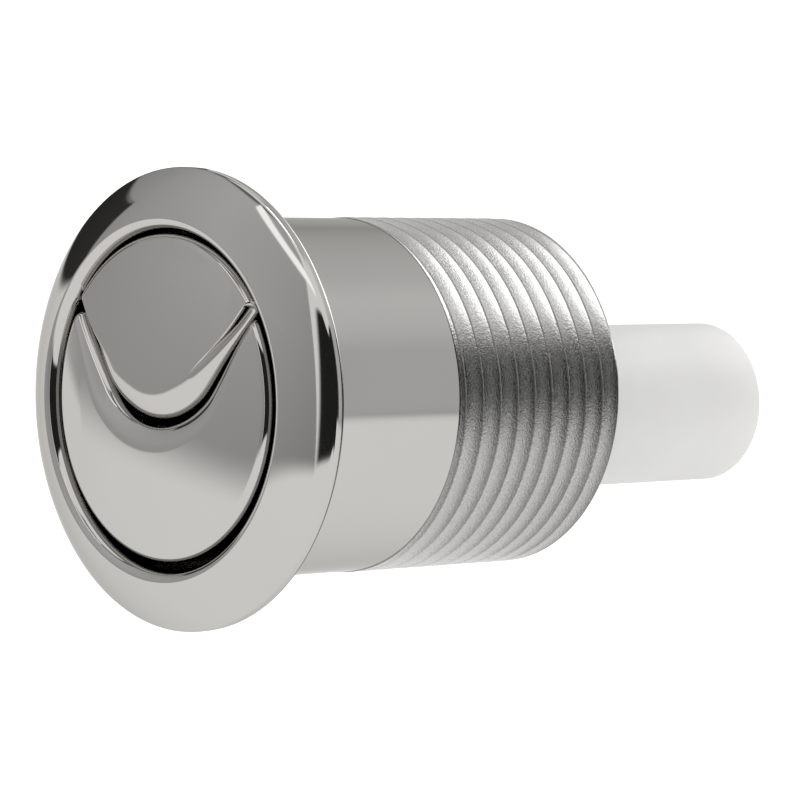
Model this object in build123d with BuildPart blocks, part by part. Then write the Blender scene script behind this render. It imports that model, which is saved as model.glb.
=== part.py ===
from build123d import *
from math import cos, radians, sin, sqrt
import os

# Dual flush push button for a cistern lid, sizes in millimetres.
# The origin is the centre of the flange's seat on the lid, +Z points out of the lid,
# and the thread and the push tube hang below it along -Z. +Y is the side of the half flush cap.

# Domed flange
flange_radius = 24.0
flange_edge_height = 1.3
flange_edge_round = 0.4
crease_radius = 18.75
crease_height = 4.25
flange_bulge = 0.35
lip_round = 0.95

# Neck and threaded barrel
neck_radius = 18.9
neck_length = 20.7
thread_radius = 19.0
barrel_length = 44.85
barrel_end_chamfer = 0.5
collar_width = 2.2
collar_top = -9.3
collar_bottom = -15.0
seat_wall = 1.7
seat_step = 0.3

# Retaining ring and its groove
ring_depth = 2.35
ring_thickness = 1.0
ring_width = 2.5
ring_lug_radius = 1.7
ring_eye_radius = 0.75
ring_gap_angle = 26.0
ring_lug_angle = 16.0
groove_depth = 0.5
groove_clearance = 0.05

# Caps: one shallow dome cut in two along a rounded V
cap_edge_height = 3.85
dome_rise = 1.5
half_cap_gap = 0.8
full_cap_gap = 1.1
split_tip_y = -2.5
split_tip_radius = 10.1
split_arm_angle = 53.0
split_gap = 0.8
cap_roof_thickness = 1.85
cap_skirt_z = -2.5
cap_wall = 1.5
half_split_edge_round = 1.8
half_outer_edge_round = 0.7
full_split_edge_round = 1.7
full_outer_edge_round = 0.8

# Clearance of the sliding fits
running_gap = 0.3

# Push tube and the rod inside it
tube_offset_y = -2.1
tube_radius = 9.1
tube_wall = 1.6
tube_end_z = -78.5
tube_edge_round = 0.5
rod_radius = 5.2
rod_bore_radius = 3.6
rod_end_recess = 1.0
rod_web_z = -12.0
rod_spigot_radius = 3.2

# Screws
screw_radius = 0.9
screw_length = 8.0
screw_head_radius = 1.9
screw_head_height = 1.4
screw_slot_width = 0.5
screw_slot_length = 2.4
screw_slot_depth = 0.7
screw_fit = 0.05
screw_pass_radius = 1.2

# Half flush plunger
half_plate_top = -5.2
half_plate_thickness = 3.0
half_plate_gap = 0.6
half_plate_inset = 0.6
tongue_radius = 6.0
half_screw_x = 3.2
half_screw_y = 10.8
half_boss_radius = 2.0
pin_x = 8.5
pin_y = 9.5
pin_shoulder_radius = 2.6
pin_shoulder_z = -19.0
pin_radius = 1.6
pin_tip_length = 1.5
latch_half_width = 3.0
latch_gap = 0.4
latch_thickness = 1.8
latch_barb_gap = 0.6
latch_barb_height = 1.8

# Full flush plunger
post_x = 10.5
post_y = -6.5
post_radius = 2.6
full_plate_top = -15.2
full_plate_thickness = 3.0
full_plate_gap = 0.6
full_plate_edge_y = 5.5
full_hub_rim = 0.1
spigot_length = 6.5
tongue_notch_gap = 0.8

# Guide insert
insert_height = 6.5
insert_plate_thickness = 2.5
insert_wall = 1.6
hub_wall = 2.0
hub_tip_length = 0.5
insert_clearance = 0.1

# Springs
full_spring_gap = 0.7
full_spring_wire = 1.0
full_spring_turns = 5.0
half_spring_gap = 0.35
half_spring_wire = 0.5
half_spring_turns = 9.0

# Small details
boss_root = 0.5
overlap = 0.5
pin_end_chamfer = 0.4
rod_clearance = 0.4
full_web = 1.4
screw_recess_gap = 0.2
touch = 0.01

# Levels, radii and centres that follow from the sizes above
cap_bore_radius = crease_radius - lip_round
collar_radius = cap_bore_radius - collar_width
insert_seat_radius = thread_radius - seat_wall
barrel_bore_radius = insert_seat_radius - seat_step
groove_radius = insert_seat_radius + groove_depth
ring_top = ring_depth - barrel_length
ring_inner_radius = groove_radius - groove_clearance - ring_width
insert_seat_z = ring_top + insert_height
insert_plate_bottom = insert_seat_z - insert_plate_thickness
hub_end_z = ring_top - hub_tip_length
pin_end_z = insert_seat_z - pin_tip_length
half_plate_radius = collar_radius - half_plate_gap
half_plate_bottom = half_plate_top - half_plate_thickness
latch_outer_radius = collar_radius - latch_gap
latch_inner_y = latch_outer_radius - latch_thickness
latch_barb_radius = barrel_bore_radius - latch_barb_gap
full_plate_radius = barrel_bore_radius - full_plate_gap
full_plate_bottom = full_plate_top - full_plate_thickness
tube_bore_radius = tube_radius - tube_wall
rod_end_z = tube_end_z + rod_end_recess
full_spring_radius = tube_radius + full_spring_gap + full_spring_wire / 2
full_hub_radius = full_spring_radius + full_spring_wire / 2 + full_hub_rim
half_spring_radius = pin_radius + half_spring_gap + half_spring_wire / 2
half_cap_radius = cap_bore_radius - half_cap_gap
full_cap_radius = cap_bore_radius - full_cap_gap
cap_roof_z = cap_edge_height - cap_roof_thickness
dome_top = cap_edge_height + dome_rise
dome_radius = (half_cap_radius**2 + dome_rise**2) / (2 * dome_rise)
half_screws = [(-half_screw_x, half_screw_y), (half_screw_x, half_screw_y)]
full_screws = [(-post_x, post_y), (post_x, post_y)]
pins = [(-pin_x, pin_y), (pin_x, pin_y)]
far = 2 * flange_radius
os.makedirs("parts", exist_ok=True)


def split_points(shift):
    """Points of the V-shaped split moved by shift towards the half flush side."""
    centre_y = split_tip_y + split_tip_radius
    radius = split_tip_radius - shift
    lean = radians(split_arm_angle)
    joint = (radius * sin(lean), centre_y - radius * cos(lean))
    end = (joint[0] + far * cos(lean), joint[1] + far * sin(lean))
    tip = (0, centre_y - radius)
    return tip, joint, end


def draw_split_region(shift):
    """Closed line round everything on the half flush side of the split."""
    tip, joint, end = split_points(shift)
    Line((-end[0], end[1]), (-joint[0], joint[1]))
    ThreePointArc((-joint[0], joint[1]), tip, joint)
    Line(joint, end)
    Line(end, (-end[0], end[1]))


def split_rim(cap, radius):
    """Top edges of a fresh cap that run along the split."""
    rim = cap.faces().sort_by(Axis.Z)[-1].edges()
    return [edge for edge in rim if abs(reach(edge @ 0.5) - radius) > touch]


def round_rim(cap, radius):
    """Top edge of a cap that runs round the outside of the dome."""
    rim = cap.faces().sort_by(Axis.Z)[-1].edges() + cap.edges()
    level = cap_edge_height - touch
    return [edge for edge in rim if abs(reach(edge @ 0.5) - radius) < touch and (edge @ 0.5).Z > level][:1]


def reach(point):
    """Distance of a point from the body's axis."""
    return sqrt(point.X**2 + point.Y**2)


def export_piece(piece, name):
    """Write one finished piece to its own file."""
    piece.part.label = name
    export_step(piece.part, "parts/" + name + ".step")


# The body: domed flange, neck and barrel turned about the axis
chord_x = flange_radius - crease_radius
chord_z = crease_height - flange_edge_height
chord = sqrt(chord_x**2 + chord_z**2)
flange_middle = (
    (flange_radius + crease_radius) / 2 + flange_bulge * chord_z / chord,
    (crease_height + flange_edge_height) / 2 + flange_bulge * chord_x / chord,
)
lip_middle = (
    crease_radius - lip_round * sin(radians(45)),
    crease_height - lip_round * (1 - cos(radians(45))),
)

with BuildPart() as threaded_body:
    with BuildSketch(Plane.XZ) as body_section:
        with BuildLine():
            ThreePointArc(
                (cap_bore_radius, crease_height - lip_round),
                lip_middle,
                (crease_radius, crease_height),
            )
            ThreePointArc(
                (crease_radius, crease_height), flange_middle, (flange_radius, flange_edge_height)
            )
            Polyline(
                (flange_radius, flange_edge_height),
                (flange_radius, 0),
                (neck_radius, 0),
                (neck_radius, -neck_length),
                (thread_radius, -neck_length),
                (thread_radius, barrel_end_chamfer - barrel_length),
                (thread_radius - barrel_end_chamfer, -barrel_length),
                (insert_seat_radius, -barrel_length),
                (insert_seat_radius, insert_seat_z),
                (barrel_bore_radius, insert_seat_z),
                (barrel_bore_radius, collar_bottom),
                (collar_radius, collar_bottom),
                (collar_radius, collar_top),
                (cap_bore_radius, collar_top),
                (cap_bore_radius, crease_height - lip_round),
            )
        make_face()
        rim_corners = body_section.vertices().group_by(Axis.X)[-1]
        fillet(rim_corners, radius=flange_edge_round)
    revolve(axis=Axis.Z)
    with BuildSketch(Plane.XY.offset(ring_top + groove_clearance)):
        Circle(groove_radius)
    extrude(amount=-ring_thickness - 2 * groove_clearance, mode=Mode.SUBTRACT)
export_piece(threaded_body, "threaded_body")

# Half flush cap: a domed shell on the small side of the split
with BuildPart() as half_flush_cap:
    with BuildSketch(Plane.XY.offset(cap_skirt_z)):
        Circle(half_cap_radius)
        with BuildLine():
            draw_split_region(split_gap / 2)
        make_face(mode=Mode.INTERSECT)
    extrude(amount=dome_top - cap_skirt_z)
    with Locations((0, 0, dome_top - dome_radius)):
        Sphere(dome_radius, rotation=(0, 90, 0), mode=Mode.INTERSECT)
    # The wide rolled edge along the split first, then the round edge, which rounds the corners too
    fillet(split_rim(half_flush_cap, half_cap_radius), half_split_edge_round)
    fillet(round_rim(half_flush_cap, half_cap_radius), half_outer_edge_round)
    with BuildSketch(Plane.XY.offset(cap_skirt_z)):
        Circle(half_cap_radius - cap_wall)
        with BuildLine():
            draw_split_region(split_gap / 2 + cap_wall)
        make_face(mode=Mode.INTERSECT)
    extrude(amount=cap_roof_z - cap_skirt_z, mode=Mode.SUBTRACT)
    with BuildSketch(Plane.XY.offset(half_plate_top)):
        with Locations(*half_screws):
            Circle(half_boss_radius)
    extrude(amount=cap_roof_z + boss_root - half_plate_top)
    with BuildSketch(Plane.XY.offset(half_plate_top)):
        with Locations(*half_screws):
            Circle(screw_radius + screw_fit)
    extrude(amount=screw_length - half_plate_thickness + screw_fit, mode=Mode.SUBTRACT)
export_piece(half_flush_cap, "half_flush_cap")

# Full flush cap: the large side of the split, with two long posts for its plunger
with BuildPart() as full_flush_cap:
    with BuildSketch(Plane.XY.offset(cap_skirt_z)):
        Circle(full_cap_radius)
        with BuildLine():
            draw_split_region(-split_gap / 2)
        make_face(mode=Mode.SUBTRACT)
    extrude(amount=dome_top - cap_skirt_z)
    with Locations((0, 0, dome_top - dome_radius)):
        Sphere(dome_radius, rotation=(0, 90, 0), mode=Mode.INTERSECT)
    fillet(split_rim(full_flush_cap, full_cap_radius), full_split_edge_round)
    fillet(round_rim(full_flush_cap, full_cap_radius), full_outer_edge_round)
    with BuildSketch(Plane.XY.offset(cap_skirt_z)):
        Circle(full_cap_radius - cap_wall)
        with BuildLine():
            draw_split_region(-split_gap / 2 - cap_wall)
        make_face(mode=Mode.SUBTRACT)
    extrude(amount=cap_roof_z - cap_skirt_z, mode=Mode.SUBTRACT)
    # Notch in the skirt that passes over the tongue of the half flush plunger
    with BuildSketch(Plane.XY.offset(cap_skirt_z)):
        with Locations((0, tube_offset_y)):
            Rectangle(2 * (tongue_radius + tongue_notch_gap), 2 * (tongue_radius + tongue_notch_gap))
    extrude(amount=cap_roof_z - cap_skirt_z, mode=Mode.SUBTRACT)
    with BuildSketch(Plane.XY.offset(full_plate_top)):
        with Locations(*full_screws):
            Circle(post_radius)
    extrude(amount=cap_roof_z + boss_root - full_plate_top)
    with BuildSketch(Plane.XY.offset(full_plate_top)):
        with Locations(*full_screws):
            Circle(screw_radius + screw_fit)
    extrude(amount=screw_length - full_web + screw_fit, mode=Mode.SUBTRACT)
export_piece(full_flush_cap, "full_flush_cap")

# Half flush plunger: plate under the small cap, tongue over the tube, two spring pins and a latch
with BuildPart() as half_plunger:
    with BuildSketch(Plane.XY.offset(half_plate_top)):
        Circle(half_plate_radius)
        with BuildLine():
            draw_split_region(split_gap / 2 + half_plate_inset)
        make_face(mode=Mode.INTERSECT)
        with Locations((0, tube_offset_y)):
            Circle(tongue_radius)
        with Locations((0, (half_screw_y + tube_offset_y) / 2)):
            Rectangle(2 * tongue_radius, half_screw_y - tube_offset_y)
        with Locations(*half_screws):
            Circle(screw_pass_radius, mode=Mode.SUBTRACT)
        with Locations((0, tube_offset_y)):
            Circle(rod_spigot_radius + screw_fit, mode=Mode.SUBTRACT)
    extrude(amount=-half_plate_thickness)
    with BuildSketch(Plane.XY.offset(half_plate_bottom)):
        with Locations(*pins):
            Circle(pin_shoulder_radius)
    extrude(amount=pin_shoulder_z - half_plate_bottom)
    with BuildSketch(Plane.XY.offset(pin_shoulder_z)):
        with Locations(*pins):
            Circle(pin_radius)
    extrude(amount=pin_end_z - pin_shoulder_z)
    chamfer(half_plunger.faces().sort_by(Axis.Z)[:2].edges(), length=pin_end_chamfer)
    # The latch: a springy leg with a barb that hooks under the collar
    with BuildSketch(Plane.YZ) as latch_section:
        with BuildLine():
            Polyline(
                (latch_inner_y, half_plate_bottom + overlap),
                (latch_outer_radius, half_plate_bottom + overlap),
                (latch_outer_radius, full_plate_top),
                (latch_barb_radius, full_plate_top),
                (latch_outer_radius, full_plate_top - latch_barb_height),
                (latch_inner_y, full_plate_top - latch_barb_height),
                close=True,
            )
        make_face()
    extrude(amount=latch_half_width, both=True)
export_piece(half_plunger, "half_plunger")

# Full flush plunger: plate under the posts with a spigot for the push tube
with BuildPart() as full_plunger:
    with BuildSketch(Plane.XY.offset(full_plate_top)):
        Circle(full_plate_radius)
        with Locations((0, full_plate_edge_y + far / 2)):
            Rectangle(far, far, mode=Mode.SUBTRACT)
        with Locations((0, tube_offset_y)):
            Circle(full_hub_radius)
            Circle(rod_radius + rod_clearance, mode=Mode.SUBTRACT)
        with Locations(*full_screws):
            Circle(screw_pass_radius, mode=Mode.SUBTRACT)
    extrude(amount=-full_plate_thickness)
    with BuildSketch(Plane.XY.offset(full_plate_bottom)):
        with Locations(*full_screws):
            Circle(screw_head_radius + screw_recess_gap)
    extrude(amount=full_plate_thickness - full_web, mode=Mode.SUBTRACT)
    with BuildSketch(Plane.XY.offset(full_plate_bottom)):
        with Locations((0, tube_offset_y)):
            Circle(tube_bore_radius - screw_fit)
            Circle(rod_radius + rod_clearance, mode=Mode.SUBTRACT)
    extrude(amount=-spigot_length)
export_piece(full_plunger, "full_plunger")

# Push tube, offset from the barrel's axis
with BuildPart() as push_tube:
    with BuildSketch(Plane.XY.offset(full_plate_bottom)):
        with Locations((0, tube_offset_y)):
            Circle(tube_radius)
            Circle(tube_bore_radius, mode=Mode.SUBTRACT)
    extrude(amount=tube_end_z - full_plate_bottom)
    fillet(push_tube.faces().sort_by(Axis.Z)[0].edges(), radius=tube_edge_round)
export_piece(push_tube, "push_tube")

# Rod inside the push tube, hollow below its web, with a spigot in the tongue
with BuildPart() as half_push_rod:
    with BuildSketch(Plane.XY.offset(half_plate_bottom)):
        with Locations((0, tube_offset_y)):
            Circle(rod_radius)
    extrude(amount=rod_end_z - half_plate_bottom)
    fillet(half_push_rod.faces().sort_by(Axis.Z)[0].edges(), radius=tube_edge_round)
    with BuildSketch(Plane.XY.offset(rod_end_z)):
        with Locations((0, tube_offset_y)):
            Circle(rod_bore_radius)
    extrude(amount=rod_web_z - rod_end_z, mode=Mode.SUBTRACT)
    with BuildSketch(Plane.XY.offset(half_plate_bottom)):
        with Locations((0, tube_offset_y)):
            Circle(rod_spigot_radius)
    extrude(amount=half_plate_thickness)
    chamfer(half_push_rod.faces().sort_by(Axis.Z)[-1].edges(), length=pin_end_chamfer)
export_piece(half_push_rod, "half_push_rod")

# Guide insert: plate, hub for the push tube and skirt that rests on the retaining ring
with BuildPart() as guide_insert:
    with BuildSketch(Plane.XY.offset(insert_seat_z)):
        Circle(insert_seat_radius - insert_clearance)
    extrude(amount=ring_top - insert_seat_z)
    with BuildSketch(Plane.XY.offset(insert_plate_bottom)):
        Circle(insert_seat_radius - insert_clearance - insert_wall)
    extrude(amount=ring_top - insert_plate_bottom, mode=Mode.SUBTRACT)
    with BuildSketch(Plane.XY.offset(insert_plate_bottom)):
        with Locations((0, tube_offset_y)):
            Circle(tube_radius + running_gap + hub_wall)
    extrude(amount=hub_end_z - insert_plate_bottom)
    with BuildSketch(Plane.XY.offset(insert_seat_z)):
        with Locations((0, tube_offset_y)):
            Circle(tube_radius + running_gap)
        with Locations(*pins):
            Circle(pin_radius + running_gap)
    extrude(amount=hub_end_z - insert_seat_z, mode=Mode.SUBTRACT)
export_piece(guide_insert, "guide_insert")

# Retaining ring: sprung ring with a gap at the top and two eyes for the pliers
with BuildPart() as retaining_ring:
    with BuildSketch(Plane.XY.offset(ring_top)):
        Circle(groove_radius - groove_clearance)
        Circle(ring_inner_radius, mode=Mode.SUBTRACT)
        gap_half = radians(ring_gap_angle / 2)
        with BuildLine():
            Polyline(
                (0, 0),
                (far * sin(gap_half), far * cos(gap_half)),
                (-far * sin(gap_half), far * cos(gap_half)),
                close=True,
            )
        make_face(mode=Mode.SUBTRACT)
        with PolarLocations(ring_inner_radius, 2, 90 - ring_lug_angle, 2 * ring_lug_angle, endpoint=True):
            Circle(ring_lug_radius)
        with PolarLocations(ring_inner_radius, 2, 90 - ring_lug_angle, 2 * ring_lug_angle, endpoint=True):
            Circle(ring_eye_radius, mode=Mode.SUBTRACT)
    extrude(amount=-ring_thickness)
export_piece(retaining_ring, "retaining_ring")


def make_screws(centres, head_top):
    """Pan head screws with cross slots, pointing up from head_top."""
    with BuildPart() as screws:
        with BuildSketch(Plane.XY.offset(head_top)):
            with Locations(*centres):
                Circle(screw_head_radius)
        extrude(amount=-screw_head_height)
        with BuildSketch(Plane.XY.offset(head_top - screw_head_height)):
            with Locations(*centres):
                Rectangle(screw_slot_length, screw_slot_width)
                Rectangle(screw_slot_width, screw_slot_length)
        extrude(amount=screw_slot_depth, mode=Mode.SUBTRACT)
        with BuildSketch(Plane.XY.offset(head_top)):
            with Locations(*centres):
                Circle(screw_radius)
        extrude(amount=screw_length)
    return screws


# Screws that hold each plunger to its cap
half_cap_screws = make_screws(half_screws, half_plate_bottom)
export_piece(half_cap_screws, "half_cap_screws")
full_cap_screws = make_screws(full_screws, full_plate_top - full_web)
export_piece(full_cap_screws, "full_cap_screws")


def wind_spring(centre, radius, wire, turns, top, bottom):
    """Coil spring that just fits between two levels."""
    height = top - bottom - wire
    with BuildPart() as spring:
        with BuildLine() as coil:
            Helix(height / turns, height, radius, center=(centre[0], centre[1], bottom + wire / 2))
        with BuildSketch(Plane(origin=coil.edge() @ 0, z_dir=coil.edge() % 0)):
            Circle(wire / 2)
        sweep()
    return spring


# Springs that lift the caps again, seated on the guide insert
full_return_spring = wind_spring(
    (0, tube_offset_y),
    full_spring_radius,
    full_spring_wire,
    full_spring_turns,
    full_plate_bottom,
    insert_seat_z,
)
export_piece(full_return_spring, "full_return_spring")
half_return_spring_left = wind_spring(
    pins[0], half_spring_radius, half_spring_wire, half_spring_turns, pin_shoulder_z, insert_seat_z
)
export_piece(half_return_spring_left, "half_return_spring_left")
half_return_spring_right = wind_spring(
    pins[1], half_spring_radius, half_spring_wire, half_spring_turns, pin_shoulder_z, insert_seat_z
)
export_piece(half_return_spring_right, "half_return_spring_right")
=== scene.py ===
"""Dual flush push button: polished plating, a blasted thread, a milky push tube and the works inside.

The solids are in metres. Sizes here are in millimetres and are scaled when a mesh is made.
"""

import math

import bpy
import numpy as np
from mathutils import Matrix, Vector


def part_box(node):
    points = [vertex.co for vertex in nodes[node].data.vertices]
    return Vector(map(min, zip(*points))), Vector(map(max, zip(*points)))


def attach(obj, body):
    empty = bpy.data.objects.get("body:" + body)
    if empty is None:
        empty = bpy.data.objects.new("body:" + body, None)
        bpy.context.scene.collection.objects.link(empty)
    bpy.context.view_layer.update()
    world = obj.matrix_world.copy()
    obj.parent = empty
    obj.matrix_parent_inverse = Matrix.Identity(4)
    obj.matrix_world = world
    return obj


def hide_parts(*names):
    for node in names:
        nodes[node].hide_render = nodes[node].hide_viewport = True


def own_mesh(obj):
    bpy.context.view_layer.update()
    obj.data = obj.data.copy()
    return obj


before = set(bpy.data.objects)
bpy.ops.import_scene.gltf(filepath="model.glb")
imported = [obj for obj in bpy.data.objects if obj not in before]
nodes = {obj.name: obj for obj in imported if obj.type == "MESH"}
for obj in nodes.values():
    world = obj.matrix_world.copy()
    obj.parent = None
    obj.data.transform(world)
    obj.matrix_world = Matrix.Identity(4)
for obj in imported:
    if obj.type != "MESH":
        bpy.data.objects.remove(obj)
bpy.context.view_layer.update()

MM = 0.001
POINT_GRID_PER_MM = 1e5

# Body
FLANGE_RADIUS = 24.0
FLANGE_EDGE_HEIGHT = 1.3
FLANGE_EDGE_ROUND = 0.4
FLANGE_BULGE = 0.35
FLANGE_TOP_STEPS = 28
FLANGE_EDGE_STEPS = 8
CREASE_RADIUS = 18.75
CREASE_HEIGHT = 4.25
# Radius, first and last angle, and steps of each arc of the lip
LIP_ARCS = ((1.0, 0, 55, 12), (2.8, 55, 75, 6), (2.0, 75, 90, 3))
BORE_MOUTH = ((17.8, 0.9), (17.45, 1.2))
NECK_RADIUS = 18.9
NECK_LENGTH = 20.7
NECK_ROWS = (0.0, -5.0, -NECK_LENGTH)
BARREL_LENGTH = 44.85
END_CHAMFER = 0.5
BORE_PROFILE = (
    (17.3, -44.85), (17.3, -43.55), (17.8, -43.55), (17.8, -42.45), (17.3, -42.45),
    (17.3, -36.0), (17.0, -36.0), (17.0, -15.0), (15.6, -15.0), (15.6, -9.3), (17.8, -9.3),
)
BODY_SHARP_ANGLE = 12.0

# Thread: convex crests parted by a narrow helical groove
CREST_RADIUS = 19.0
CREST_DROP = 0.06
GROOVE_FLANK = 0.22
GROOVE_WALL = 0.08
GROOVE_FLOOR_RADIUS = 18.6
PITCH = 2.55
FIRST_GROOVE_Z = -18.9
THREAD_TURNS = 11
THREAD_SAMPLES = (0.0, 0.08, 0.15, 0.22, 0.4, 0.7, 1.0, 1.275, 1.55, 1.85, 2.15, 2.33, 2.40, 2.47)
THREAD_COLUMNS = 320

# Dome of the caps and the split between them
DOME_TOP = 5.35
DOME_RADIUS = 97.0833
SPLIT_TIP_Y = -2.5
SPLIT_TIP_RADIUS = 10.1
SPLIT_ARM_ANGLE = 53.0
SPLIT_HALF_GAP = 0.4
FULL_TIP_GAP = 0.22
FULL_ARM_GAP = 0.05
GAP_NARROWS = (2.0, 12.0)
BEYOND_RIM = 30.0

# Shell of the caps
CAP_ROOF_Z = 2.0
CAP_SKIRT_Z = -2.5
CAP_WALL = 1.5
OUTLINE_ABOVE_ROOF = -0.05
NOTCH_ABOVE_ROOF = -0.1
INNER_CORNER_ROLL = 0.3
DOME_ROWS = 56
ROOF_ROWS = 4
CAP_SHARP_ANGLE = 35.0
HALF_CAP_RADIUS = 17.2
FULL_CAP_RADIUS = 16.7
HALF_RIM_ROLL = 0.9
FULL_RIM_ROLL = 0.8
# Half width, upper end and lower end of the notch for the push tube
TUBE_NOTCH = (6.8, 4.7, -8.9)

# Screw posts: x, y, radius, lower end, hole radius and hole depth
HALF_POSTS = ((-3.2, 10.8, 2.0, -5.2, 0.95, 5.05), (3.2, 10.8, 2.0, -5.2, 0.95, 5.05))
FULL_POSTS = ((-10.5, -6.5, 2.6, -15.2, 0.95, 6.65), (10.5, -6.5, 2.6, -15.2, 0.95, 6.65))
POST_CHAMFER = 0.15
POST_IN_ROOF = 0.5
POST_COLUMNS = 48

# Rolled edges of the caps: spans are shares of the way along an arm of the split
EDGE_SAMPLES = 120
CORNER_SAMPLES = 10
ROLL_ANGLES = (0, 1, 2.5, 5, 8, 12, 16, 20, 25, 30, 36, 42, 48, 54, 60, 66, 72, 78, 84, 90)
LAST_LEVEL = len(ROLL_ANGLES) - 1
CORNER_SPAN = (0.45, 1.0)
HALF_TIP_ROLL = 3.0
HALF_END_ROLL = 0.75
HALF_ROLL_SPAN = (0.20, 0.92)
HALF_TIP_DEPTH = 0.7
HALF_DEPTH_SPAN = (0.35, 0.9)
HALF_STEP = 1.1
HALF_STEP_SPAN = (0.45, 1.0)
HALF_STEP_LEAD = 0.14
STEP_LEVELS = 4
ROLL_SPACING = 1.25
FULL_TIP_ROLL = 2.7
FULL_END_ROLL = 1.3
FULL_ROLL_SPAN = (0.45, 1.0)
FULL_TIP_DEPTH = 0.5
FULL_DEPTH_SPAN = (0.1, 0.8)

# Springs
COIL_STEPS = 32
WIRE_COLUMNS = 12
COIL_SHARP_ANGLE = 50
FULL_WIRE = 1.0
FULL_TURNS = 5
HALF_WIRE = 0.5
HALF_TURNS = 9

# Grain and haze
MASK_LOW = 0.3
MASK_HIGH = 0.7
GRAIN_FINE_SCALE = 6500.0
GRAIN_COARSE_SCALE = 3400.0
GRAIN_DETAIL = 3.0
HAZE_SLOW_DETAIL = 4.0
HAZE_FINE_DETAIL = 2.0
HAZE_FINE_TIMES = 14.0

# Finishes
PLATING_HAZE = 60.0
PLATING_EDGE_TINT = (0.68, 0.67, 0.65, 1)
BLASTED_ROUGHNESS = (0.17, 0.27)
BLASTED_BUMP = (0.6, 0.00004)
PLASTIC_HAZE = 90.0
PLASTIC_ROUGHNESS = (0.34, 0.46)
PLASTIC_BUMP = (0.12, 0.00003)
PLASTIC_SCATTER_RADIUS = (1.0, 0.95, 0.85)
PLASTIC_SCATTER_SCALE = 0.004
PLASTIC_IOR = 1.49
STEEL_HAZE = 400.0
STEEL_ROUGHNESS = (0.24, 0.38)

# Camera
CAMERA_AT = Vector((0.3159, 0.0213, 0.2669))
CAMERA_RIGHT = Vector((0.68415, 0.01418, -0.7292))
CAMERA_UP = Vector((-0.0468, 0.9986, -0.0245))
CAMERA_BACK = Vector((0.7278, 0.0509, 0.6839))
CAMERA_LENS = 180
CAMERA_SENSOR = 36
CAMERA_NEAR = 0.01
CAMERA_FAR = 20

# Stage, in metres
FLOOR_REACH = 3.0
FLOOR_Z = -0.30
FLOOR_TONE = 0.9
FLOOR_LIFT = 0.4
FLOOR_ROUGHNESS = 0.9
STUDIO_CENTRE = Vector((0, 0, -0.02))
CARD_STEPS = 40
RING_COLUMNS = 96
WALL_DISTANCE = 1.30


def arc(centre, radius, start, end, steps):
    """Points on an arc, angles in degrees."""
    angles = np.radians(np.linspace(start, end, steps + 1))
    return [(centre[0] + radius * math.cos(a), centre[1] + radius * math.sin(a)) for a in angles]


def ease(x, start, end):
    """Smooth rise from 0 at start to 1 at end."""
    share = min(1.0, max(0.0, (x - start) / (end - start)))
    return share * share * (3 - 2 * share)


def circle_through(p, q, r):
    """Centre and radius of the circle through three points."""
    sides = np.array([[q[0] - p[0], q[1] - p[1]], [r[0] - p[0], r[1] - p[1]]])
    p_square, q_square, r_square = (point[0] ** 2 + point[1] ** 2 for point in (p, q, r))
    centre = np.linalg.solve(sides, 0.5 * np.array([q_square - p_square, r_square - p_square]))
    return centre, math.hypot(p[0] - centre[0], p[1] - centre[1])


def new_piece(name, points, faces, materials, sharp_angle, face_slots=None):
    """Mesh object from points in millimetres: doubled points are merged, collapsed faces left out."""
    keys = np.round(np.asarray(points) * POINT_GRID_PER_MM).astype(np.int64)
    _, first, index = np.unique(keys, axis=0, return_index=True, return_inverse=True)
    index = index.reshape(-1)
    kept, kept_slots = [], []
    for i, face in enumerate(faces):
        ring = []
        for corner in face:
            corner = int(index[corner])
            if corner not in ring:
                ring.append(corner)
        if len(ring) > 2:
            kept.append(ring)
            kept_slots.append(face_slots[i] if face_slots else 0)
    mesh = bpy.data.meshes.new(name)
    mesh.from_pydata((np.asarray(points)[first] * MM).tolist(), [], kept)
    for material in materials:
        mesh.materials.append(material)
    mesh.polygons.foreach_set("material_index", kept_slots)
    mesh.polygons.foreach_set("use_smooth", [True] * len(kept))
    mesh.update()
    mesh.set_sharp_from_angle(angle=math.radians(sharp_angle))
    piece = bpy.data.objects.new(name, mesh)
    bpy.context.scene.collection.objects.link(piece)
    return piece


def rows_to_faces(rows, columns, start=0, closed=True):
    """Quads between rows of points, each row a ring when closed."""
    faces = []
    for j in range(rows - 1):
        for i in range(columns if closed else columns - 1):
            k = (i + 1) % columns
            a = start + j * columns
            b = start + (j + 1) * columns
            faces.append((a + i, a + k, b + k, b + i))
    return faces


# Materials
def socket(tree, kind, name, out=False, value=None):
    """Named input or output of a node group."""
    made = tree.interface.new_socket(name=name, in_out="OUTPUT" if out else "INPUT", socket_type=kind)
    if value is not None:
        made.default_value = value
    return made


def multiplied(tree, source, factor):
    """Math node that multiplies a value by a factor."""
    node = tree.nodes.new("ShaderNodeMath")
    node.operation = "MULTIPLY"
    node.inputs[1].default_value = factor
    tree.links.new(source, node.inputs[0])
    return node.outputs[0]


def noise(tree, coordinates, scale, detail=None):
    """Noise texture on object coordinates."""
    node = tree.nodes.new("ShaderNodeTexNoise")
    if detail is not None:
        node.inputs["Detail"].default_value = detail
    tree.links.new(coordinates, node.inputs["Vector"])
    tree.links.new(scale, node.inputs["Scale"])
    return node.outputs["Fac"]


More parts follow.
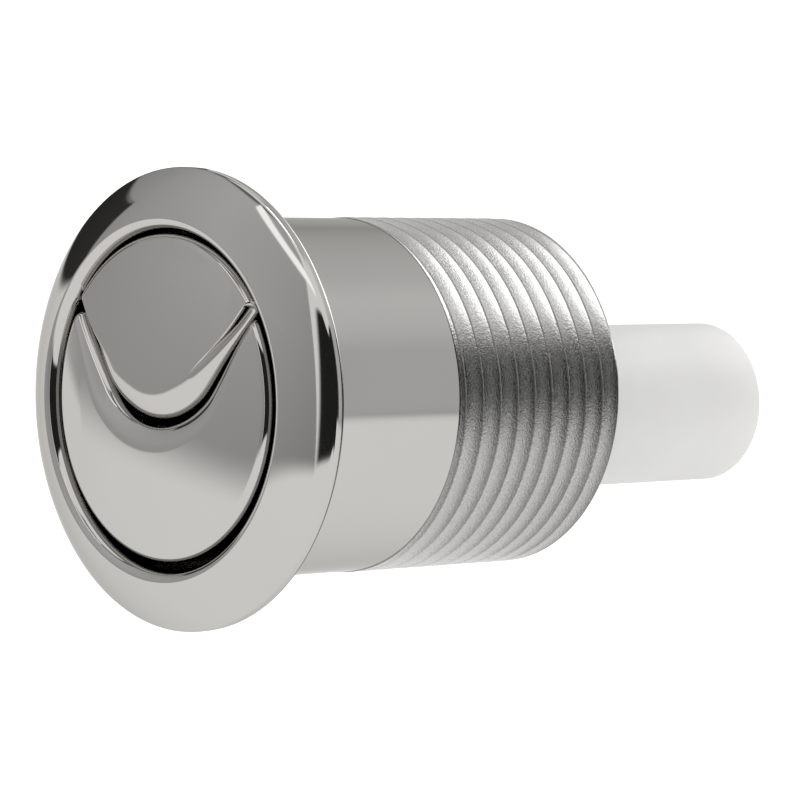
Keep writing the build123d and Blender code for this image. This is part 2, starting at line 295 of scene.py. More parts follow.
def grain_group():
    """Fine pits of a blasted surface: a height and a roughness mask from object coordinates."""
    tree = bpy.data.node_groups.new("blasted_grain", "ShaderNodeTree")
    socket(tree, "NodeSocketFloat", "Scale", value=1.0)
    socket(tree, "NodeSocketFloat", "Height", out=True)
    socket(tree, "NodeSocketFloat", "Mask", out=True)
    scale = tree.nodes.new("NodeGroupInput").outputs["Scale"]
    out = tree.nodes.new("NodeGroupOutput")
    place = tree.nodes.new("ShaderNodeTexCoord").outputs["Object"]
    fine = noise(tree, place, multiplied(tree, scale, GRAIN_FINE_SCALE), GRAIN_DETAIL)
    coarse = noise(tree, place, multiplied(tree, scale, GRAIN_COARSE_SCALE))
    both = tree.nodes.new("ShaderNodeMath")
    both.operation = "ADD"
    tree.links.new(fine, both.inputs[0])
    tree.links.new(coarse, both.inputs[1])
    tree.links.new(both.outputs[0], out.inputs["Height"])
    tree.links.new(fine, out.inputs["Mask"])
    return tree


def haze_group():
    """Slow and fine change of sheen over a polished or moulded surface."""
    tree = bpy.data.node_groups.new("surface_haze", "ShaderNodeTree")
    socket(tree, "NodeSocketFloat", "Scale", value=PLATING_HAZE)
    socket(tree, "NodeSocketFloat", "Mask", out=True)
    socket(tree, "NodeSocketFloat", "Fine", out=True)
    scale = tree.nodes.new("NodeGroupInput").outputs["Scale"]
    out = tree.nodes.new("NodeGroupOutput")
    place = tree.nodes.new("ShaderNodeTexCoord").outputs["Object"]
    slow = noise(tree, place, scale, HAZE_SLOW_DETAIL)
    fine = noise(tree, place, multiplied(tree, scale, HAZE_FINE_TIMES), HAZE_FINE_DETAIL)
    tree.links.new(slow, out.inputs["Mask"])
    tree.links.new(fine, out.inputs["Fine"])
    return tree


GRAIN = grain_group()
HAZE = haze_group()


def start_material(name):
    """New material with its node tree and its Principled BSDF."""
    material = bpy.data.materials.new(name)
    material.use_nodes = True
    tree = material.node_tree
    return material, tree, tree.nodes["Principled BSDF"]


def add_group(tree, group, scale):
    """Place a shared effect in a material with a scale of its own."""
    node = tree.nodes.new("ShaderNodeGroup")
    node.node_tree = group
    node.inputs["Scale"].default_value = scale
    return node


def ranged(tree, source, low, high):
    """Map a mask to a span of values."""
    node = tree.nodes.new("ShaderNodeMapRange")
    node.inputs["From Min"].default_value = MASK_LOW
    node.inputs["From Max"].default_value = MASK_HIGH
    node.inputs["To Min"].default_value = low
    node.inputs["To Max"].default_value = high
    tree.links.new(source, node.inputs["Value"])
    return node.outputs["Result"]


def tinted(tree, source, dark, light):
    """Map a mask to a span of colours."""
    node = tree.nodes.new("ShaderNodeValToRGB")
    low, high = node.color_ramp.elements
    low.position = MASK_LOW
    high.position = MASK_HIGH
    low.color = (*dark, 1)
    high.color = (*light, 1)
    tree.links.new(source, node.inputs["Fac"])
    return node.outputs["Color"]


def bumped(tree, source, strength, distance):
    """Normal from a height."""
    node = tree.nodes.new("ShaderNodeBump")
    node.inputs["Strength"].default_value = strength
    node.inputs["Distance"].default_value = distance
    tree.links.new(source, node.inputs["Height"])
    return node.outputs["Normal"]


def polished(name, dark, light, rough_low, rough_high):
    """Mirror-like plating with a faint haze."""
    material, tree, shader = start_material(name)
    shader.inputs["Metallic"].default_value = 1.0
    shader.inputs["Specular Tint"].default_value = PLATING_EDGE_TINT
    haze = add_group(tree, HAZE, PLATING_HAZE)
    tree.links.new(tinted(tree, haze.outputs["Mask"], dark, light), shader.inputs["Base Color"])
    tree.links.new(ranged(tree, haze.outputs["Mask"], rough_low, rough_high), shader.inputs["Roughness"])
    return material


def blasted(name, dark, light):
    """Plating over a bead-blasted surface."""
    material, tree, shader = start_material(name)
    shader.inputs["Metallic"].default_value = 1.0
    grain = add_group(tree, GRAIN, 1.0)
    tree.links.new(tinted(tree, grain.outputs["Mask"], dark, light), shader.inputs["Base Color"])
    tree.links.new(ranged(tree, grain.outputs["Mask"], *BLASTED_ROUGHNESS), shader.inputs["Roughness"])
    tree.links.new(bumped(tree, grain.outputs["Height"], *BLASTED_BUMP), shader.inputs["Normal"])
    return material


def moulded(name, dark, light, scatter):
    """Injection-moulded plastic that lets some light in."""
    material, tree, shader = start_material(name)
    haze = add_group(tree, HAZE, PLASTIC_HAZE)
    tree.links.new(tinted(tree, haze.outputs["Mask"], dark, light), shader.inputs["Base Color"])
    tree.links.new(ranged(tree, haze.outputs["Fine"], *PLASTIC_ROUGHNESS), shader.inputs["Roughness"])
    tree.links.new(bumped(tree, haze.outputs["Fine"], *PLASTIC_BUMP), shader.inputs["Normal"])
    shader.inputs["Subsurface Weight"].default_value = scatter
    shader.inputs["Subsurface Radius"].default_value = PLASTIC_SCATTER_RADIUS
    shader.inputs["Subsurface Scale"].default_value = PLASTIC_SCATTER_SCALE
    shader.inputs["IOR"].default_value = PLASTIC_IOR
    return material


def drawn(name, dark, light):
    """Drawn or turned steel."""
    material, tree, shader = start_material(name)
    shader.inputs["Metallic"].default_value = 1.0
    haze = add_group(tree, HAZE, STEEL_HAZE)
    tree.links.new(tinted(tree, haze.outputs["Mask"], dark, light), shader.inputs["Base Color"])
    tree.links.new(ranged(tree, haze.outputs["Fine"], *STEEL_ROUGHNESS), shader.inputs["Roughness"])
    return material


PLATING = polished("polished_plating", (0.560, 0.549, 0.529), (0.575, 0.563, 0.543), 0.035, 0.06)
BLASTED = blasted("blasted_plating", (0.44, 0.435, 0.425), (0.60, 0.594, 0.58))
BORE = polished("bore_plating", (0.40, 0.395, 0.385), (0.46, 0.455, 0.445), 0.22, 0.34)
MILKY = moulded("milky_tube_plastic", (0.79, 0.782, 0.758), (0.83, 0.822, 0.798), scatter=0.6)
INNER = moulded("inner_plastic", (0.74, 0.745, 0.74), (0.80, 0.80, 0.795), scatter=0.15)
SPRING = drawn("spring_wire", (0.46, 0.45, 0.43), (0.56, 0.55, 0.53))
SCREW = drawn("screw_steel", (0.50, 0.49, 0.47), (0.60, 0.59, 0.57))


# Body
def lip_line():
    """Inset and drop of the flange's inner lip: a round edge that runs into a steep flank."""
    line, inset, drop = [(0.0, 0.0)], 0.0, 0.0
    for radius, start, end, steps in LIP_ARCS:
        for i in range(1, steps + 1):
            low = math.radians(start + (end - start) * (i - 1) / steps)
            high = math.radians(start + (end - start) * i / steps)
            inset += radius * (math.sin(high) - math.sin(low))
            drop += radius * (math.cos(low) - math.cos(high))
            line.append((inset, drop))
    return line


def flange_profile():
    """Outer line of the flange from the bore's mouth to the seat."""
    crease = (CREASE_RADIUS, CREASE_HEIGHT)
    edge = (FLANGE_RADIUS, FLANGE_EDGE_HEIGHT)
    chord_x = FLANGE_RADIUS - CREASE_RADIUS
    chord_z = CREASE_HEIGHT - FLANGE_EDGE_HEIGHT
    chord = math.hypot(chord_x, chord_z)
    middle = (
        (FLANGE_RADIUS + CREASE_RADIUS) / 2 + FLANGE_BULGE * chord_z / chord,
        (CREASE_HEIGHT + FLANGE_EDGE_HEIGHT) / 2 + FLANGE_BULGE * chord_x / chord,
    )
    centre, radius = circle_through(crease, middle, edge)
    round_x = FLANGE_RADIUS - FLANGE_EDGE_ROUND
    round_z = centre[1] + math.sqrt((radius - FLANGE_EDGE_ROUND) ** 2 - (round_x - centre[0]) ** 2)
    start = math.degrees(math.atan2(CREASE_HEIGHT - centre[1], CREASE_RADIUS - centre[0]))
    end = math.degrees(math.atan2(round_z - centre[1], round_x - centre[0]))
    line = list(BORE_MOUTH)
    line += [(CREASE_RADIUS - inset, CREASE_HEIGHT - drop) for inset, drop in lip_line()][::-1]
    line += arc(centre, radius, start, end, FLANGE_TOP_STEPS)[1:]
    line += arc((round_x, round_z), FLANGE_EDGE_ROUND, end, 0, FLANGE_EDGE_STEPS)[1:]
    line += arc((round_x, FLANGE_EDGE_ROUND), FLANGE_EDGE_ROUND, 0, -90, FLANGE_EDGE_STEPS)
    return line


def thread_radius_at(drop):
    """Radius of the thread at a distance below a groove's middle."""
    drop = drop % PITCH
    share = min(drop / GROOVE_FLANK, (PITCH - drop) / GROOVE_WALL)
    edge = CREST_RADIUS - CREST_DROP
    if share < 1:
        return GROOVE_FLOOR_RADIUS + (edge - GROOVE_FLOOR_RADIUS) * share
    half_band = (PITCH - GROOVE_FLANK - GROOVE_WALL) / 2
    return CREST_RADIUS - CREST_DROP * ((drop - GROOVE_FLANK - half_band) / half_band) ** 2


def make_body():
    """Flange, neck, threaded barrel and bore as one closed skin."""
    columns = THREAD_COLUMNS
    thread_top = -NECK_LENGTH
    thread_bottom = END_CHAMFER - BARREL_LENGTH
    upper = flange_profile() + [(NECK_RADIUS, z) for z in NECK_ROWS]
    lower = [(CREST_RADIUS - END_CHAMFER, -BARREL_LENGTH), *BORE_PROFILE]
    drops = [PITCH * turn + sample for turn in range(THREAD_TURNS) for sample in THREAD_SAMPLES]
    drops.append(PITCH * THREAD_TURNS)
    plated, threaded, bored = range(3)
    points, rows, faces, slots = [], [], [], []

    def ring(radius, z):
        base = len(points)
        for i in range(columns):
            a = 2 * math.pi * i / columns
            points.append((radius * math.cos(a), radius * math.sin(a), z))
        rows.append([base + i for i in range(columns)])

    def join(first, second, slot):
        for i in range(columns):
            k = (i + 1) % columns
            faces.append((first[i], second[i], second[k], first[k]))
            slots.append(slot)

    for radius, z in upper:
        ring(radius, z)
    grid = np.empty((len(drops), columns + 1), int)
    for j, drop in enumerate(drops):
        for i in range(columns):
            a = 2 * math.pi * i / columns
            lead = PITCH * i / columns
            held = min(max(FIRST_GROOVE_Z + lead - drop, thread_bottom), thread_top)
            radius = thread_radius_at(FIRST_GROOVE_Z + lead - held)
            grid[j, i] = len(points)
            points.append((radius * math.cos(a), radius * math.sin(a), held))
    for j in range(len(drops)):
        grid[j, columns] = grid[max(j - len(THREAD_SAMPLES), 0), 0]
    lower_start = len(rows)
    for radius, z in lower:
        ring(radius, z)

    thread = grid.tolist()
    for j in range(lower_start - 1):
        join(rows[j], rows[j + 1], plated)
    join(rows[lower_start - 1], thread[0], threaded)
    for above, below in zip(thread, thread[1:]):
        for i in range(columns):
            faces.append((above[i], below[i], below[i + 1], above[i + 1]))
            slots.append(threaded)
    join(thread[-1], rows[lower_start], threaded)
    for j in range(lower_start, len(rows) - 1):
        join(rows[j], rows[j + 1], bored)
    join(rows[-1], rows[0], bored)
    return new_piece("plated_body", points, faces, [PLATING, BLASTED, BORE], BODY_SHARP_ANGLE, slots)


# Caps
def dome_z(x, y):
    """Height of the dome that both caps share."""
    return DOME_TOP - DOME_RADIUS + math.sqrt(DOME_RADIUS**2 - x * x - y * y)


def split_line(side, shift, along):
    """Point on the right half of the split, moved by shift into a cap, at a length from the tip."""
    gap = SPLIT_HALF_GAP
    if side < 0:
        gap = FULL_TIP_GAP - (FULL_TIP_GAP - FULL_ARM_GAP) * ease(along, *GAP_NARROWS)
    centre_y = SPLIT_TIP_Y + SPLIT_TIP_RADIUS
    lean = math.radians(SPLIT_ARM_ANGLE)
    bend = SPLIT_TIP_RADIUS * lean
    radius = SPLIT_TIP_RADIUS - side * (gap + shift)
    if along <= bend:
        a = along / SPLIT_TIP_RADIUS
        return radius * math.sin(a), centre_y - radius * math.cos(a)
    rest = along - bend
    x = radius * math.sin(lean) + rest * math.cos(lean)
    y = centre_y - radius * math.cos(lean) + rest * math.sin(lean)
    return x, y


def corner_point(side, shift, reach):
    """Length along the split, and the point, where the split moved by shift meets a circle."""
    lean = math.radians(SPLIT_ARM_ANGLE)
    bend = SPLIT_TIP_RADIUS * lean
    dx, dy = math.cos(lean), math.sin(lean)
    far_x, far_y = split_line(side, shift, BEYOND_RIM)
    x = far_x - (BEYOND_RIM - bend) * dx
    y = far_y - (BEYOND_RIM - bend) * dy
    b = x * dx + y * dy
    rest = -b + math.sqrt(b * b - (x * x + y * y - reach * reach))
    return bend + rest, (x + rest * dx, y + rest * dy)


def cap_loop(side, radius, split_edge, outer_edge, level, base=0.0):
    """Closed line round a cap and the drop below the dome at each point.

    split_edge(level, u) and outer_edge(level) give the inset and the drop of an edge's section,
    from level 0, where it leaves the dome, to level 1, the outline.
    """
    end_far, _ = split_edge(0.0, 1.0)
    outer_far, _ = outer_edge(0.0)
    end_inset, end_drop = split_edge(level, 1.0)
    outer_inset, outer_drop = outer_edge(level)
    line, drops = [], []
    full_length, _ = corner_point(side, base + end_far, radius - base - outer_far)
    length, _ = corner_point(side, base + end_inset, radius - base - outer_far)
    for i in range(EDGE_SAMPLES + 1):
        u = i / EDGE_SAMPLES
        inset, drop = split_edge(level, u)
        along = full_length * u + (length - full_length) * ease(u, *CORNER_SPAN)
        line.append(split_line(side, base + inset, along))
        drops.append(drop)
    for i in range(1, CORNER_SAMPLES):
        a = math.radians(90 * i / CORNER_SAMPLES)
        split_inset = end_far - (end_far - end_inset) * math.cos(a)
        round_inset = outer_far - (outer_far - outer_inset) * math.sin(a)
        line.append(corner_point(side, base + split_inset, radius - base - round_inset)[1])
        drops.append(end_drop + (outer_drop - end_drop) * math.sin(a) ** 2)
    _, last = corner_point(side, base + end_far, radius - base - outer_inset)
    start_angle = math.atan2(last[1], last[0])
    stop_angle = side * math.pi / 2
    reach = radius - base - outer_inset
    for i in range(EDGE_SAMPLES + 1):
        a = start_angle + (stop_angle - start_angle) * i / EDGE_SAMPLES
        line.append((reach * math.cos(a), reach * math.sin(a)))
        drops.append(outer_drop)
    left = [(-x, y) for x, y in line[1:-1]]
    return line + left[::-1], drops + drops[1:-1][::-1]


def cap_sections(loop):
    """Split side and round side of a loop, both from the left corner to the right corner."""
    right = loop[: 2 * (EDGE_SAMPLES + 1) + CORNER_SAMPLES - 1]
    straight, outside = right[: EDGE_SAMPLES + 1], right[-(EDGE_SAMPLES + 1):]
    split_side = [(-x, y) for x, y in straight[:0:-1]] + straight
    round_side = [(-x, y) for x, y in outside[:-1]] + [outside[-1]] + outside[-2::-1]
    return split_side, round_side


def rolled(radius):
    """Section of a plain quarter-round edge."""

    def edge(level, u=0.0):
        a = math.radians(ROLL_ANGLES[round(level * LAST_LEVEL)])
        return radius * (1 - math.sin(a)), radius * (1 - math.cos(a))

    return edge


def half_split_edge(level, u):
    """Edge of the small cap: wide roll at the tip, narrower along the arms below a deepening step."""
    k = round(level * LAST_LEVEL)
    roll = HALF_TIP_ROLL - (HALF_TIP_ROLL - HALF_END_ROLL) * ease(u, *HALF_ROLL_SPAN)
    step = HALF_STEP * ease(u, *HALF_STEP_SPAN)
    if k < STEP_LEVELS:
        share = k / STEP_LEVELS
        lead = min(HALF_STEP_LEAD, step)
        return roll + lead * (1 - share) ** 2, step * share**2
    a = math.radians(90.0 * ((k - STEP_LEVELS) / (LAST_LEVEL - STEP_LEVELS)) ** ROLL_SPACING)
    deep = HALF_TIP_DEPTH + (1 - HALF_TIP_DEPTH) * ease(u, *HALF_DEPTH_SPAN)
    return roll * (1 - math.sin(a)), step + roll * deep * (1 - math.cos(a))


def full_split_edge(level, u):
    """Rolled edge of the large cap, wide and shallow at the tip and narrow on the arms."""
    a = math.radians(ROLL_ANGLES[round(level * LAST_LEVEL)])
    roll = FULL_TIP_ROLL - (FULL_TIP_ROLL - FULL_END_ROLL) * ease(u, *FULL_ROLL_SPAN)
    deep = FULL_TIP_DEPTH + (1 - FULL_TIP_DEPTH) * ease(u, *FULL_DEPTH_SPAN)
    return roll * (1 - math.sin(a)), roll * deep * (1 - math.cos(a))


def add_post(points, faces, x, y, radius, low, hole, depth):
    """Round post under the roof with a blind screw hole."""
    line = [
        (0.0, low + depth), (hole, low + depth), (hole, low), (radius - POST_CHAMFER, low),
        (radius, low + POST_CHAMFER), (radius, CAP_ROOF_Z + POST_IN_ROOF), (0.0, CAP_ROOF_Z + POST_IN_ROOF),
    ]
    base = len(points)
    for r, z in line:
        for i in range(POST_COLUMNS):
            a = 2 * math.pi * i / POST_COLUMNS
            points.append((x + r * math.cos(a), y + r * math.sin(a), z))
    faces.extend(rows_to_faces(len(line), POST_COLUMNS, base))


def skirt_z(x, y, notch):
    """Lower end of a cap's skirt, which stops under the roof where a notch lets the tube pass."""
    if notch and abs(x) < notch[0] and notch[2] < y < notch[1]:
        return CAP_ROOF_Z + NOTCH_ABOVE_ROOF
    return CAP_SKIRT_Z


def roof_z(x, y):
    """Height of the flat roof inside a cap."""
    return CAP_ROOF_Z


def make_cap(name, side, radius, split_edge, outer_edge, notch, posts):
    """Domed shell with edge sections of its own, a skirt, a roof and its posts."""
    points, faces, loops = [], [], []

    def add_loop(line, heights):
        loops.append(len(points))
        points.extend((x, y, z) for (x, y), z in zip(line, heights))

    for k in range(LAST_LEVEL + 1):
        line, drops = cap_loop(side, radius, split_edge, outer_edge, k / LAST_LEVEL)
        add_loop(line, [dome_z(x, y) - drop for (x, y), drop in zip(line, drops)])
    count = len(line)
    corner = rolled(INNER_CORNER_ROLL)
    top_line, _ = cap_loop(side, radius, split_edge, outer_edge, 0.0)
    inner, _ = cap_loop(side, radius, corner, corner, 1.0, CAP_WALL)
    skirt = [skirt_z(x, y, notch) for x, y in inner]
    add_loop(line, [CAP_ROOF_Z + OUTLINE_ABOVE_ROOF] * count)
    add_loop(line, skirt)
    add_loop(inner, skirt)
    add_loop(inner, [CAP_ROOF_Z] * count)
    for first, second in zip(loops, loops[1:]):
        for i in range(count):
            k = (i + 1) % count
            face = (first + i, second + i, second + k, first + k)
            faces.append(face if side > 0 else face[::-1])
    for ring, height, steps, upward in (
        (top_line, dome_z, DOME_ROWS, True),
        (inner, roof_z, ROOF_ROWS, False),
    ):
        split_side, round_side = cap_sections(ring)
        base = len(points)
        width = len(split_side)
        for j in range(steps + 1):
            v = j / steps
            for (ax, ay), (bx, by) in zip(split_side, round_side):
                x = ax + (bx - ax) * v
                y = ay + (by - ay) * v
                points.append((x, y, height(x, y)))
        for j in range(steps):
            for i in range(width - 1):
                a = base + j * width + i
                b = a + width
                face = (a, a + 1, b + 1, b)
                faces.append(face if upward == (side > 0) else face[::-1])
    for post in posts:
        add_post(points, faces, *post)
    return new_piece(name, points, faces, [PLATING], CAP_SHARP_ANGLE)


body = make_body()
half_cap = make_cap(
    "half_flush_dome", 1, HALF_CAP_RADIUS, half_split_edge, rolled(HALF_RIM_ROLL), None, HALF_POSTS
)
full_cap = make_cap(
    "full_flush_dome", -1, FULL_CAP_RADIUS, full_split_edge, rolled(FULL_RIM_ROLL), TUBE_NOTCH, FULL_POSTS
)

for piece, node, rider, plating in (
    (body, "threaded_body", "body", "body_plating"),
    (half_cap, "half_flush_cap", "half_flush", "cap_plating"),
    (full_cap, "full_flush_cap", "full_flush", "cap_plating"),
):
    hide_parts(node)
    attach(piece, rider)


# Springs
def coil_tree():
    """Geometry Nodes tree that sweeps a round wire along a helix."""
    tree = bpy.data.node_groups.new("coil_of_wire", "GeometryNodeTree")
    for name in ("Radius", "Height", "Turns", "Wire Radius"):
        socket(tree, "NodeSocketFloat", name)
    socket(tree, "NodeSocketMaterial", "Material")
    socket(tree, "NodeSocketGeometry", "Geometry", out=True)
    sizes = tree.nodes.new("NodeGroupInput")
    out = tree.nodes.new("NodeGroupOutput")
    helix = tree.nodes.new("GeometryNodeCurveSpiral")
    section = tree.nodes.new("GeometryNodeCurvePrimitiveCircle")
    sweep = tree.nodes.new("GeometryNodeCurveToMesh")
    realize = tree.nodes.new("GeometryNodeRealizeInstances")
    finish = tree.nodes.new("GeometryNodeSetMaterial")
    helix.inputs["Resolution"].default_value = COIL_STEPS
    helix.inputs["Reverse"].default_value = True
    section.inputs["Resolution"].default_value = WIRE_COLUMNS
    sweep.inputs["Fill Caps"].default_value = True
    for source, target in (
        (sizes.outputs["Turns"], helix.inputs["Rotations"]),
        (sizes.outputs["Radius"], helix.inputs["Start Radius"]),
        (sizes.outputs["Radius"], helix.inputs["End Radius"]),
        (sizes.outputs["Height"], helix.inputs["Height"]),
        (sizes.outputs["Wire Radius"], section.inputs["Radius"]),
        (helix.outputs["Curve"], sweep.inputs["Curve"]),
        (section.outputs["Curve"], sweep.inputs["Profile Curve"]),
        (sweep.outputs["Mesh"], realize.inputs["Geometry"]),
        (realize.outputs["Geometry"], finish.inputs["Geometry"]),
        (sizes.outputs["Material"], finish.inputs["Material"]),
        (finish.outputs["Geometry"], out.inputs["Geometry"]),
    ):
        tree.links.new(source, target)
    return tree


COIL_TREE = coil_tree()


def wind_spring(name, node, wire, turns):
    """Coil spring in the place of its node."""
    low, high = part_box(node)
    wire_radius = wire * MM / 2
    sizes = {
        "Radius": (high.x - low.x) / 2 - wire_radius,
        "Height": high.z - low.z - 2 * wire_radius,
        "Turns": float(turns),
        "Wire Radius": wire_radius,
        "Material": SPRING,
    }
    spring = bpy.data.objects.new(name, bpy.data.meshes.new(name))
    bpy.context.scene.collection.objects.link(spring)
    winding = spring.modifiers.new("winding", "NODES")
    winding.node_group = COIL_TREE
    for item in COIL_TREE.interface.items_tree:
        if item.in_out == "INPUT":
            winding[item.identifier] = sizes[item.name]
    evaluated = spring.evaluated_get(bpy.context.evaluated_depsgraph_get())
    mesh = bpy.data.meshes.new_from_object(evaluated)
    spring.modifiers.remove(winding)
    mesh.name = name
    place = Vector(((low.x + high.x) / 2, (low.y + high.y) / 2, low.z + wire_radius))
    mesh.transform(Matrix.Translation(place))
    mesh.polygons.foreach_set("use_smooth", [True] * len(mesh.polygons))
    mesh.set_sharp_from_angle(angle=math.radians(COIL_SHARP_ANGLE))
    spring.data = mesh
    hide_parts(node)
    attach(spring, "body")
    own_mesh(spring)


wind_spring("full_spring_coil", "full_return_spring", FULL_WIRE, FULL_TURNS)
wind_spring("half_spring_coil_left", "half_return_spring_left", HALF_WIRE, HALF_TURNS)
wind_spring("half_spring_coil_right", "half_return_spring_right", HALF_WIRE, HALF_TURNS)

# Solids that are shown as they are
NODE_MATERIALS = {
    "push_tube": MILKY,
    "half_push_rod": MILKY,
    "half_plunger": INNER,
    "full_plunger": INNER,
    "guide_insert": INNER,
    "retaining_ring": SPRING,
    "half_cap_screws": SCREW,
    "full_cap_screws": SCREW,
}
for name, material in NODE_MATERIALS.items():
    for slot in nodes[name].material_slots:
        slot.material = material


# Camera
camera_data = bpy.data.cameras.new("camera")
camera_data.lens = CAMERA_LENS
camera_data.sensor_width = CAMERA_SENSOR
camera_data.clip_start = CAMERA_NEAR
camera_data.clip_end = CAMERA_FAR
camera = bpy.data.objects.new("camera", camera_data)
bpy.context.scene.collection.objects.link(camera)
axes = Matrix((CAMERA_RIGHT, CAMERA_UP, CAMERA_BACK)).transposed()
camera.matrix_world = Matrix.Translation(CAMERA_AT) @ axes.to_4x4()
bpy.context.scene.camera = camera
bpy.context.scene.view_settings.view_transform = "Standard"


# Cards that the plating mirrors
def toward(turn, rise):
    """Direction from the object: degrees of turn to the camera's right and of rise."""
    t, r = math.radians(turn), math.radians(rise)
    level = CAMERA_RIGHT * math.sin(t) + CAMERA_BACK * math.cos(t)
    return (level * math.cos(r) + CAMERA_UP * math.sin(r)).normalized()


def glow(name):
    """Card that shines by its own level attribute and fades out by its cover attribute."""
    material = bpy.data.materials.new(name)
    material.use_nodes = True
    tree = material.node_tree
    tree.nodes.clear()
    out = tree.nodes.new("ShaderNodeOutputMaterial")
    light = tree.nodes.new("ShaderNodeEmission")
    clear = tree.nodes.new("ShaderNodeBsdfTransparent")
    mix = tree.nodes.new("ShaderNodeMixShader")
    level = tree.nodes.new("ShaderNodeAttribute")
    cover = tree.nodes.new("ShaderNodeAttribute")
    level.attribute_name = "level"
    cover.attribute_name = "cover"
    tree.links.new(level.outputs["Fac"], light.inputs["Strength"])
    tree.links.new(cover.outputs["Fac"], mix.inputs[0])
    tree.links.new(clear.outputs[0], mix.inputs[1])
    tree.links.new(light.outputs[0], mix.inputs[2])
    tree.links.new(mix.outputs[0], out.inputs["Surface"])
    return material


CARD_GLOW = glow("card_glow")


def fade(distance, width):
    """Cover of a card at a distance from an edge with a soft band of that width."""
    return 1.0 if width <= 0 else ease(distance, 0.0, width)


def hang_card(name, directions, columns, levels, covers, distance):
    """Card through rows of directions round the object, seen only in what it shines on."""
    points = [tuple(STUDIO_CENTRE + direction * distance) for direction in directions]
    mesh = bpy.data.meshes.new(name)
    mesh.from_pydata(points, [], rows_to_faces(len(points) // columns, columns, closed=False))
    mesh.attributes.new("level", "FLOAT", "POINT").data.foreach_set("value", levels)
    mesh.attributes.new("cover", "FLOAT", "POINT").data.foreach_set("value", covers)
    mesh.materials.append(CARD_GLOW)
    card = bpy.data.objects.new(name, mesh)
    bpy.context.scene.collection.objects.link(card)
    card.visible_camera = False
    card.visible_shadow = False
    card.visible_diffuse = False


def sky_card(name, corners, levels, distance=WALL_DISTANCE, soft=(0, 0, 0, 0)):
    """Card over four corners of turn and rise, from the lower left one to the right and round.

    Each corner has a level. The soft bands are at the bottom, right, top and left.
    """
    directions, values, covers = [], [], []
    low_left, low_right, high_right, high_left = corners
    wide = (abs(low_right[0] - low_left[0]) + abs(high_right[0] - high_left[0])) / 2
    for j in range(CARD_STEPS + 1):
        v = j / CARD_STEPS
        for i in range(CARD_STEPS + 1):
            u = i / CARD_STEPS
            high = (1 - u) * (high_left[1] - low_left[1]) + u * (high_right[1] - low_right[1])
            weights = ((1 - u) * (1 - v), u * (1 - v), u * v, (1 - u) * v)
            turn = sum(weight * corner[0] for weight, corner in zip(weights, corners))
            rise = sum(weight * corner[1] for weight, corner in zip(weights, corners))
            directions.append(toward(turn, rise))
            values.append(sum(weight * level for weight, level in zip(weights, levels)))
            covers.append(
                fade(v * high, soft[0]) * fade((1 - u) * wide, soft[1])
                * fade((1 - v) * high, soft[2]) * fade(u * wide, soft[3])
            )
    hang_card(name, directions, CARD_STEPS + 1, values, covers, distance)


def axis_card(name, inner, outer, stops, distance, soft=(0, 0, 0, 0)):
    """Card round the barrel's own axis behind the object.

    It spans angles off the axis from inner to outer. Its stops are azimuths with their levels, and its
    soft bands are at the inner edge, the outer edge, the first azimuth and the last.
    """
    directions, values, covers = [], [], []
    start, end = stops[0][0], stops[-1][0]
    azimuths, levels = zip(*stops)
    for j in range(CARD_STEPS + 1):
        off = inner + (outer - inner) * j / CARD_STEPS
        for i in range(RING_COLUMNS + 1):
            azimuth = start + (end - start) * i / RING_COLUMNS
            a, r = math.radians(azimuth), math.radians(off)
            directions.append(Vector((math.sin(r) * math.cos(a), math.sin(r) * math.sin(a), -math.cos(r))))
            values.append(float(np.interp(azimuth, azimuths, levels)))
            covers.append(
                fade(off - inner, soft[0]) * fade(outer - off, soft[1])
                * fade(azimuth - start, soft[2]) * fade(end - azimuth, soft[3])
            )
    hang_card(name, directions, RING_COLUMNS + 1, values, covers, distance)


# Grey studio walls over a white table
sky_card(
    "wall_low_left", ((-112, -5), (-82, -13.5), (-82, 12), (-112, 12)),
    levels=(0.50, 0.38, 0.58, 0.45), soft=(6.5, 0, 0, 0),
)
sky_card(
    "wall_low_right", ((-82, -13.5), (-26, -26), (-26, 12), (-82, 12)),
    levels=(0.38, 0.32, 0.42, 0.56), soft=(6.5, 0, 0, 0),
)
sky_card(
    "wall_high_left", ((-122, 12), (-80, 12), (-80, 57), (-122, 57)),
    levels=(0.42, 0.57, 0.60, 0.53),
)
sky_card(
    "wall_high_right", ((-80, 12), (-26, 12), (-26, 57), (-80, 57)),
    levels=(0.57, 0.42, 0.53, 0.60),
)
sky_card(
    "wall_corner", ((-121, 6), (-112, -3), (-112, 12), (-121, 12)),
    levels=(0.85, 0.50, 0.45, 0.60), soft=(3, 0, 0, 0),
)
sky_card(
    "dark_far_left", ((-178, 9), (-119, 9), (-118, 28), (-178, 32)),
    levels=(0.04,) * 4, distance=1.25, soft=(2, 1.5, 2, 0),
)
sky_card(
    "wall_far_left", ((-180, 29), (-120, 27), (-120, 57), (-180, 57)),
    levels=(0.38, 0.46, 0.50, 0.38),
)
sky_card(
    "wall_top", ((-180, 57), (-20, 57), (-20, 66), (-180, 66)),
    levels=(0.2,) * 4, soft=(0, 2, 3, 0),
)
sky_card(
    "softbox", ((-68, 54), (-17, 31), (-15, 36), (-65, 60)),
    levels=(1.5,) * 4, distance=1.15, soft=(1.5, 1.5, 1.5, 1.5),
)
sky_card(
    "dark_camera", ((-26, -23), (81, -23), (81, 28), (-22, 28)),
    levels=(0.02,) * 4, distance=1.2, soft=(3, 3, 2, 2),
)
sky_card(
    "dark_beside_ring", ((78, -10), (90, -10), (93, 28), (78, 28)),
    levels=(0.02,) * 4, distance=1.21, soft=(4, 0, 2, 0),
)
sky_card(
    "wall_right_top", ((96, 48), (180, 44), (180, 62), (96, 60)),
    levels=(0.66, 0.55, 0.50, 0.60), distance=1.32, soft=(2, 0, 3, 3),
)

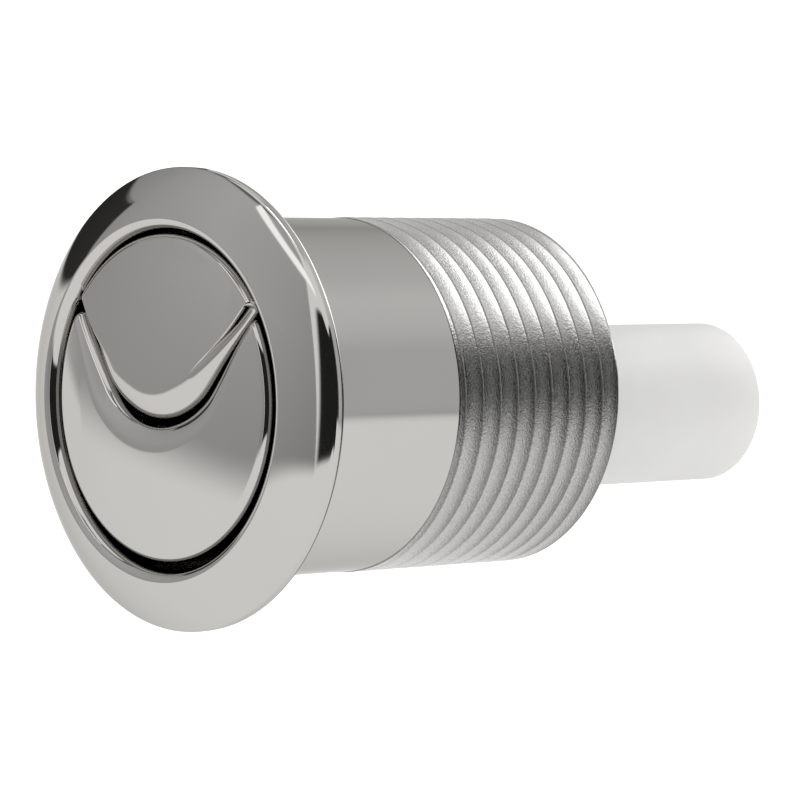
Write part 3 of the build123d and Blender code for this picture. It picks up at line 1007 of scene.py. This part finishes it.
# What the neck mirrors, and what only the thread and the tube see
NECK_STOPS = (
    (-16, 0.58), (0, 0.60), (30, 0.60), (48, 0.72), (66, 0.76), (84, 0.68), (125, 0.62), (140, 0.54),
    (150, 0.66), (178, 0.6),
)
THREAD_STOPS = (
    (-180, 0.45), (-100, 0.34), (-66, 0.32), (-47, 0.34), (-30, 0.16), (-14, 0.02), (34, 0.02), (47, 0.3),
    (61, 2.8), (70, 3.3), (104, 3.2), (126, 1.3), (150, 0.5), (180, 0.45),
)
axis_card("ring_neck", inner=43.8, outer=50.2, stops=NECK_STOPS, distance=1.18, soft=(1.0, 1.0, 9, 3))
axis_card("disc_thread", inner=1.0, outer=44.0, stops=THREAD_STOPS, distance=1.35)
sky_card(
    "lamp_above", ((85, 62), (150, 62), (150, 80), (85, 80)),
    levels=(3.6,) * 4, distance=1.2, soft=(2, 2, 2, 2),
)


# Floor and world
def white_when_seen(name, tone, lift):
    """Pale floor, lifted to white for the camera by its own colour and not by more light."""
    material, tree, shader = start_material(name)
    shader.inputs["Base Color"].default_value = (tone, tone, tone, 1)
    shader.inputs["Roughness"].default_value = FLOOR_ROUGHNESS
    seen = tree.nodes.new("ShaderNodeLightPath")
    own_glow = tree.nodes.new("ShaderNodeEmission")
    both = tree.nodes.new("ShaderNodeAddShader")
    strength = multiplied(tree, seen.outputs["Is Camera Ray"], lift)
    tree.links.new(strength, own_glow.inputs["Strength"])
    tree.links.new(shader.outputs[0], both.inputs[0])
    tree.links.new(own_glow.outputs[0], both.inputs[1])
    tree.links.new(both.outputs[0], tree.nodes["Material Output"].inputs["Surface"])
    return material


floor_corners = [(x * FLOOR_REACH, y * FLOOR_REACH, FLOOR_Z) for x, y in ((-1, -1), (1, -1), (1, 1), (-1, 1))]
floor_mesh = bpy.data.meshes.new("floor")
floor_mesh.from_pydata(floor_corners, [], [(0, 1, 2, 3)])
floor_mesh.materials.append(white_when_seen("pale_floor", FLOOR_TONE, FLOOR_LIFT))
floor = bpy.data.objects.new("floor", floor_mesh)
bpy.context.scene.collection.objects.link(floor)
floor.visible_glossy = False

world = bpy.data.worlds.new("studio")
bpy.context.scene.world = world
world.use_nodes = True
sky = world.node_tree.nodes["Background"]
sky.inputs["Color"].default_value = (1, 1, 1, 1)
sky.inputs["Strength"].default_value = 1.0
